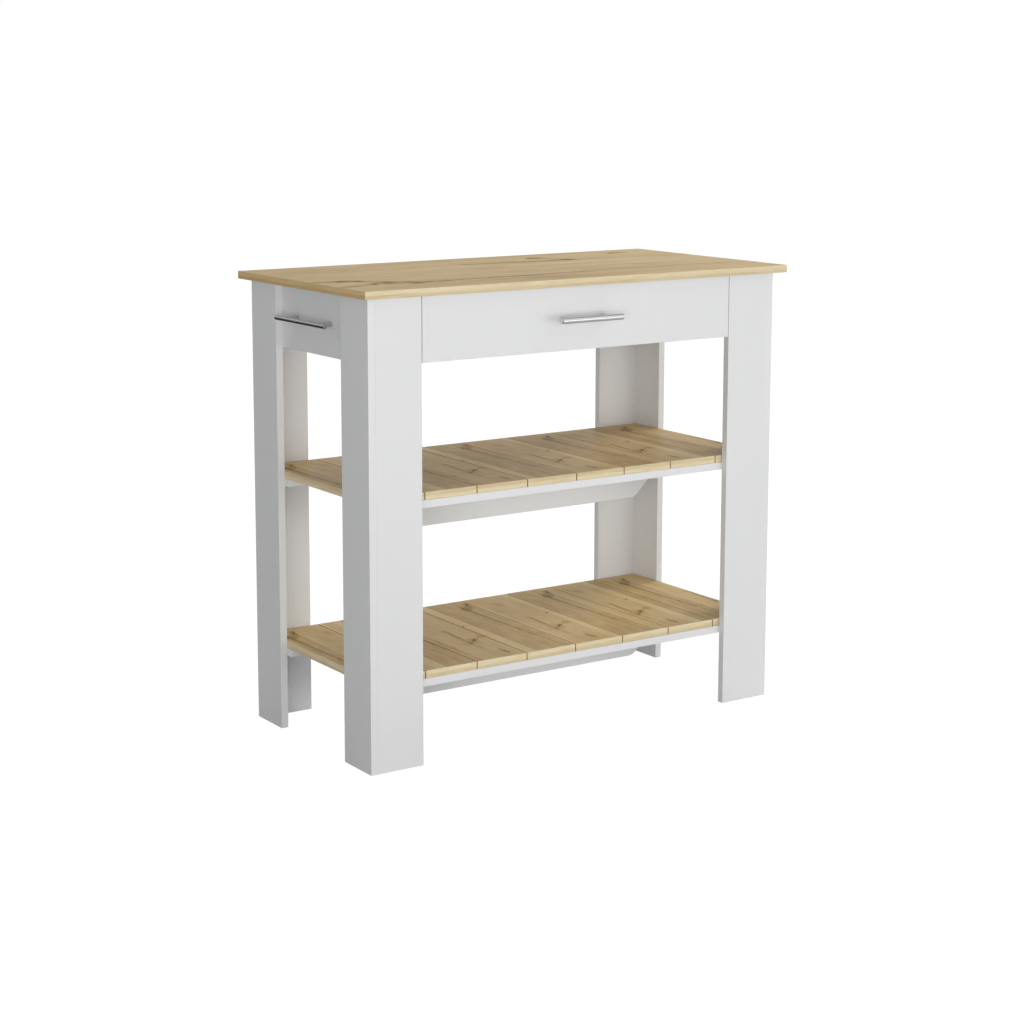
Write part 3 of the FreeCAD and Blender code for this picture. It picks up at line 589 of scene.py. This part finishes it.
def white_board(node, sawn_foot=False):
    m, g, bsdf = material("white_board_" + node)
    p = mm_point(g)
    n = g.node("ShaderNodeTexCoord").outputs["Normal"]
    nx, ny, nz = g.split(n)
    lo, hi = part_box(node)
    lo = [lo[k] * 1000.0 - ORG[k] for k in range(3)]
    hi = [hi[k] * 1000.0 - ORG[k] for k in range(3)]
    thin = min(range(3), key=lambda k: hi[k] - lo[k])
    # distance from each pair of rims, on the two broad faces
    ps = g.split(p)
    rims = []
    for k in range(3):
        if k == thin:
            continue
        mid, half = (lo[k] + hi[k]) / 2, (hi[k] - lo[k]) / 2
        rims.append(g.sub(half, g.math("ABSOLUTE", g.sub(ps[k], mid))))
    rim = g.math("MINIMUM", rims[0], rims[1])
    broad_face = g.remap(g.math("ABSOLUTE", (nx, ny, nz)[thin]), 0.90, 0.97)
    glue = g.mul(g.remap(g.math("ABSOLUTE", g.sub(rim, 1.0)), 0.0, 0.16, 1.0, 0.0, smooth=True), broad_face)
    strip = g.sub(1.0, broad_face)
    # melamine: near white, faint clouds, fine satin grain
    cloud = g.noise(p, 0.006, 3.0, 0.55)
    fleck = g.noise(p, 0.9, 3.0, 0.6)
    tone = g.total(0.5, g.mul(g.sub(cloud, 0.5), 0.55), g.mul(g.sub(fleck, 0.5), 0.28))
    colour = g.ramp(tone, [(0.0, (0.742, 0.744, 0.744, 1)), (0.5, (0.765, 0.767, 0.766, 1)), (1.0, (0.788, 0.789, 0.787, 1))])
    colour = g.mix(g.mul(strip, 0.35), colour, (0.782, 0.783, 0.778, 1))
    colour = g.mix(g.mul(glue, 0.30), colour, (0.52, 0.50, 0.47, 1))
    g.put(bsdf.inputs["Specular IOR Level"], 0.42)
    pearl = g.cells(p, 1.35, feature="SMOOTH_F1")
    grain = g.noise(p, 3.2, 2.0, 0.6)
    height = g.total(g.mul(pearl, 0.55), g.mul(grain, 0.45), g.mul(glue, -0.6))
    rough = g.total(0.40, g.mul(g.sub(fleck, 0.5), 0.16), g.mul(g.sub(cloud, 0.5), 0.10), g.mul(strip, -0.06),
                    g.mul(glue, 0.2))
    if sawn_foot:
        raw, dust = chipboard(g, p)
        foot = g.mul(g.remap(nz, -0.97, -0.90, 1.0, 0.0), g.math("LESS_THAN", g.sub(ps[2], lo[2]), 2.0))
        colour = g.mix(foot, colour, raw)
        rough = g.mixf(foot, rough, 0.85)
        height = g.mixf(foot, height, g.mul(dust, 3.0))
    g.put(bsdf.inputs["Base Color"], colour)
    g.put(bsdf.inputs["Roughness"], rough)
    g.put(bsdf.inputs["Normal"], g.bump(height, 0.22, 0.00012))
    return m


def fibreboard():
    m, g, bsdf = material("white_fibreboard_finish")
    p = mm_point(g)
    nx, ny, nz = face_normal(g)
    cloud = g.noise(p, 0.008, 3.0, 0.55)
    fleck = g.noise(p, 1.1, 3.0, 0.6)
    white = g.ramp(g.total(0.5, g.mul(g.sub(cloud, 0.5), 0.5), g.mul(g.sub(fleck, 0.5), 0.3)),
                   [(0.0, (0.73, 0.73, 0.72, 1)), (1.0, (0.80, 0.80, 0.785, 1))])
    # raw underside: pressed fibre, mid brown with darker flecks
    fib = g.noise(g.vmath("MULTIPLY", p, (0.35, 0.9, 1.0)), 0.8, 4.0, 0.65)
    brown = g.ramp(fib, [(0.25, (0.20, 0.115, 0.055, 1)), (0.5, (0.30, 0.185, 0.095, 1)), (0.75, (0.40, 0.26, 0.14, 1))])
    raw = g.remap(nz, -0.6, 0.5, 1.0, 0.0)
    g.put(bsdf.inputs["Base Color"], g.mix(raw, white, brown))
    g.put(bsdf.inputs["Roughness"], g.total(g.mixf(raw, 0.45, 0.8), g.mul(g.sub(fleck, 0.5), 0.15)))
    g.put(bsdf.inputs["Normal"], g.bump(g.mixf(raw, g.mul(fleck, 0.4), fib), 0.35, 0.0002))
    bsdf.inputs["Specular IOR Level"].default_value = 0.4
    return m


# ------------------------------------------------------------ metal and plastic
def satin_steel(name, axis, rough0, tones):
    """Brushed bar, the brush marks run along the bar (axis 0 for X, 1 for Y)."""
    m, g, bsdf = material(name)
    p = mm_point(g)
    ps = g.split(p)
    long = ps[axis]
    a, b = ps[1 - axis], ps[2]
    line = g.noise(g.xyz(g.mul(long, 0.11), g.mul(a, 7.0), g.mul(b, 7.0)), 1.0, 2.0, 0.5)
    fine = g.noise(g.xyz(g.mul(long, 0.30), g.mul(a, 17.0), g.mul(b, 17.0)), 1.0, 2.0, 0.5)
    smear = g.noise(p, 0.035, 3.0, 0.5)
    t = g.total(0.5, g.mul(g.sub(line, 0.5), 0.45), g.mul(g.sub(fine, 0.5), 0.25), g.mul(g.sub(smear, 0.5), 0.15))
    g.put(bsdf.inputs["Base Color"], g.ramp(t, [(0.0, (tones[0], tones[0], tones[0] * 1.008, 1)),
                                                (1.0, (tones[1], tones[1], tones[1], 1))]))
    bsdf.inputs["Metallic"].default_value = 1.0
    g.put(bsdf.inputs["Roughness"], g.total(rough0, g.mul(line, 0.07), g.mul(smear, 0.02)))
    g.put(bsdf.inputs["Normal"], g.bump(g.mixf(0.4, line, fine), 0.06, 0.00001))
    return m


def plated(name, base, dark, rough0):
    """Zinc plating or a die-cast face: soft mottling with small bright pits."""
    m, g, bsdf = material(name)
    p = mm_point(g)
    mott = g.noise(p, 0.45, 3.0, 0.6)
    pit = g.cells(p, 2.2)
    t = g.total(g.mul(mott, 0.8), g.mul(pit, 0.3))
    g.put(bsdf.inputs["Base Color"], g.ramp(t, [(0.2, dark), (0.8, base)]))
    bsdf.inputs["Metallic"].default_value = 1.0
    g.put(bsdf.inputs["Roughness"], g.total(rough0, g.mul(mott, 0.16)))
    g.put(bsdf.inputs["Normal"], g.bump(g.mixf(0.5, mott, pit), 0.25, 0.00006))
    return m


def powder_coat():
    m, g, bsdf = material("runner_steel_finish")
    p = mm_point(g)
    peel = g.noise(p, 0.75, 2.0, 0.5)
    fine = g.noise(p, 4.0, 2.0, 0.5)
    wear = g.remap(g.noise(g.vmath("MULTIPLY", p, (1.0, 0.06, 1.0)), 0.9, 3.0, 0.6), 0.60, 0.72)
    col = g.ramp(peel, [(0.3, (0.74, 0.74, 0.72, 1)), (0.7, (0.80, 0.80, 0.78, 1))])
    g.put(bsdf.inputs["Base Color"], g.mix(g.mul(wear, 0.25), col, (0.55, 0.55, 0.54, 1)))
    g.put(bsdf.inputs["Roughness"], g.total(0.32, g.mul(peel, 0.12), g.mul(wear, 0.12)))
    g.put(bsdf.inputs["Normal"], g.bump(g.mixf(0.3, peel, fine), 0.30, 0.0002))
    bsdf.inputs["Specular IOR Level"].default_value = 0.5
    return m


def nylon():
    m, g, bsdf = material("roller_plastic_finish")
    p = mm_point(g)
    cloud = g.noise(p, 0.25, 3.0, 0.5)
    fine = g.noise(p, 3.0, 2.0, 0.5)
    g.put(bsdf.inputs["Base Color"], g.ramp(cloud, [(0.3, (0.72, 0.71, 0.66, 1)), (0.7, (0.81, 0.80, 0.76, 1))]))
    g.put(bsdf.inputs["Roughness"], g.total(0.34, g.mul(fine, 0.14)))
    g.put(bsdf.inputs["Normal"], g.bump(fine, 0.15, 0.0001))
    bsdf.inputs["Subsurface Weight"].default_value = 0.08
    bsdf.inputs["Subsurface Radius"].default_value = (0.003, 0.003, 0.002)
    return m


def beech():
    m, g, bsdf = material("beech_dowel_finish")
    p = mm_point(g)
    grain = g.noise(g.vmath("MULTIPLY", p, (0.9, 0.9, 0.9)), 0.5, 4.0, 0.65)
    fleck = g.remap(g.noise(p, 1.8, 2.0, 0.5), 0.58, 0.70)
    col = g.ramp(grain, [(0.3, (0.50, 0.33, 0.18, 1)), (0.7, (0.66, 0.47, 0.28, 1))])
    g.put(bsdf.inputs["Base Color"], g.mix(g.mul(fleck, 0.5), col, (0.38, 0.22, 0.11, 1)))
    g.put(bsdf.inputs["Roughness"], g.total(0.62, g.mul(grain, 0.15)))
    g.put(bsdf.inputs["Normal"], g.bump(grain, 0.3, 0.0002))
    return m


# ------------------------------------------------------------ give every node its finish
TOP = oak_top()
SLAT = oak_slat()
FIBRE = fibreboard()
# painted light and shade: the same satin steel, painted lighter on the drawer bar and darker on the side bar
BAR_X = satin_steel("satin_steel_drawer_painted_lighter", 0, 0.25, (0.61, 0.77))
BAR_Y = satin_steel("satin_steel_side_painted_darker", 1, 0.165, (0.52, 0.68))
SCREW = plated("zinc_screw_finish", (0.74, 0.75, 0.77, 1), (0.52, 0.53, 0.55, 1), 0.20)
CAM = plated("zinc_cam_finish", (0.60, 0.61, 0.62, 1), (0.40, 0.41, 0.42, 1), 0.36)
RUNNER = powder_coat()
ROLLER = nylon()
DOWEL = beech()


def finish_for(name):
    if name == "worktop":
        return TOP
    if "_slat_" in name:
        return SLAT
    if name == "drawer_bottom":
        return FIBRE
    if name == "drawer_handle":
        return BAR_X
    if name == "side_handle":
        return BAR_Y
    if name.endswith("screws"):
        return SCREW
    if name.endswith("cam_fittings"):
        return CAM
    if name.endswith("dowels"):
        return DOWEL
    if name.startswith("cabinet_runner") or name.startswith("drawer_runner"):
        return RUNNER
    if "roller" in name:
        return ROLLER
    return white_board(name, sawn_foot=name.startswith("leg_"))


for name, ob in sorted(nodes_cad.items()):
    finish = finish_for(name)
    for s in ob.material_slots:
        s.material = finish

# ------------------------------------------------------------ camera
cam = bpy.data.cameras.new("camera")
cam_ob = bpy.data.objects.new("camera", cam)
scene.collection.objects.link(cam_ob)
cam_ob.location = (-2.4194, -3.5346, 1.2953)
cam_ob.rotation_euler = (math.radians(90.0 - 8.688), 0.0, math.radians(-33.578))
cam.sensor_width = 36.0
cam.lens = 74.907
cam.shift_x = 0.02315
cam.shift_y = -0.1082
cam.clip_start, cam.clip_end = 0.05, 200.0
scene.camera = cam_ob

# ------------------------------------------------------------ light
scene.view_settings.view_transform = "Standard"
scene.view_settings.look = "None"
scene.view_settings.exposure = 0.0
scene.view_settings.gamma = 1.0

world = bpy.data.worlds.new("studio")
scene.world = world
world.use_nodes = True
world.node_tree.nodes.clear()
g = Graph(world.node_tree)
out = g.node("ShaderNodeOutputWorld")
lp = g.node("ShaderNodeLightPath")
fill = g.node("ShaderNodeBackground")
fill.inputs["Color"].default_value = (0.985, 0.992, 1.0, 1)
fill.inputs["Strength"].default_value = 0.345
seen = g.node("ShaderNodeBackground")
seen.inputs["Color"].default_value = (1, 1, 1, 1)
seen.inputs["Strength"].default_value = 1.0
mixw = g.node("ShaderNodeMixShader")
g.put(mixw.inputs[0], lp.outputs["Is Camera Ray"])
g.put(mixw.inputs[1], fill.outputs[0])
g.put(mixw.inputs[2], seen.outputs[0])
g.put(out.inputs["Surface"], mixw.outputs[0])


def softbox(name, place, aim, wide, high, watts, colour=(1, 1, 1)):
    data = bpy.data.lights.new(name, "AREA")
    data.shape = "RECTANGLE"
    data.size, data.size_y = wide, high
    data.energy = watts
    data.color = colour
    ob = bpy.data.objects.new(name, data)
    scene.collection.objects.link(ob)
    ob.location = place
    ob.rotation_euler = (Vector(aim) - Vector(place)).to_track_quat("-Z", "Y").to_euler()
    ob.visible_camera = False
    return ob


softbox("key_right", (2.5, -5.2, 0.42), (0.1, 0.0, 0.66), 4.4, 1.5, 44)
softbox("front", (0.4, -5.5, 1.45), (0.0, 0.0, 0.5), 5.0, 2.8, 43)
softbox("front_low", (0.9, -2.7, 0.14), (0.1, -0.2, 0.70), 3.0, 0.7, 7)
softbox("front_left", (-3.6, -4.4, 0.9), (0.0, 0.0, 0.5), 3.0, 1.6, 98).visible_glossy = False
softbox("back_left", (-2.1, 4.3, 2.7), (-0.55, 0.0, 0.80), 2.6, 1.2, 3.2)
softbox("right_high", (4.7, 1.0, 2.5), (0.0, 0.0, 0.5), 3.0, 1.8, 142)
softbox("back_right", (3.2, 4.2, 2.0), (0.0, 0.0, 0.5), 3.0, 2.0, 10)
softbox("back", (-0.4, 5.3, 0.9), (0.0, 0.0, 0.5), 3.0, 1.5, 20)
softbox("front_high", (2.4, -2.6, 3.2), (0.0, -0.3, 0.75), 2.5, 2.0, 14)
softbox("overhead", (0.3, 0.3, 3.8), (0.0, 0.0, 0.5), 3.0, 2.4, 4.5)

# ------------------------------------------------------------ floor
me = bpy.data.meshes.new("studio_floor")
bm = bmesh.new()
bmesh.ops.create_grid(bm, x_segments=4, y_segments=4, size=40.0)
bm.to_mesh(me)
bm.free()
floor = bpy.data.objects.new("studio_floor", me)
scene.collection.objects.link(floor)
floor.location = (0.0, 0.0, -0.0004)
fm = bpy.data.materials.new("studio_floor_paint")
fm.use_nodes = True
fm.node_tree.nodes.clear()
g = Graph(fm.node_tree)
fout = g.node("ShaderNodeOutputMaterial")
paint = g.node("ShaderNodeBsdfDiffuse")
grain = g.noise(g.node("ShaderNodeTexCoord").outputs["Object"], 3.0, 3.0, 0.5)
flp = g.node("ShaderNodeLightPath")
pale = g.ramp(grain, [(0.3, (0.60, 0.60, 0.60, 1)), (0.7, (0.62, 0.62, 0.62, 1))])
# painted reflection: to glossy rays only, the floor turns near black towards the left (fully so left of x = -0.25 m),
# giving the side handle a dark band to reflect
painted_dark_reflection = g.remap(g.split(g.node("ShaderNodeTexCoord").outputs["Object"])[0], -0.25, 0.10, 1.0, 0.0, smooth=True)
g.put(paint.inputs["Color"], g.mix(g.mul(flp.outputs["Is Glossy Ray"], painted_dark_reflection), pale, (0.06, 0.06, 0.06, 1)))
glow = g.node("ShaderNodeEmission")
glow.inputs["Strength"].default_value = 1.16
lit = g.node("ShaderNodeMixShader")
g.put(lit.inputs[0], g.mul(flp.outputs["Is Camera Ray"], 0.85))
g.put(lit.inputs[1], paint.outputs[0])
g.put(lit.inputs[2], glow.outputs[0])
clear = g.node("ShaderNodeBsdfTransparent")
side = g.node("ShaderNodeMixShader")
g.put(side.inputs[0], g.node("ShaderNodeNewGeometry").outputs["Backfacing"])
g.put(side.inputs[1], lit.outputs[0])
g.put(side.inputs[2], clear.outputs[0])
g.put(fout.inputs["Surface"], side.outputs[0])
me.materials.append(fm)
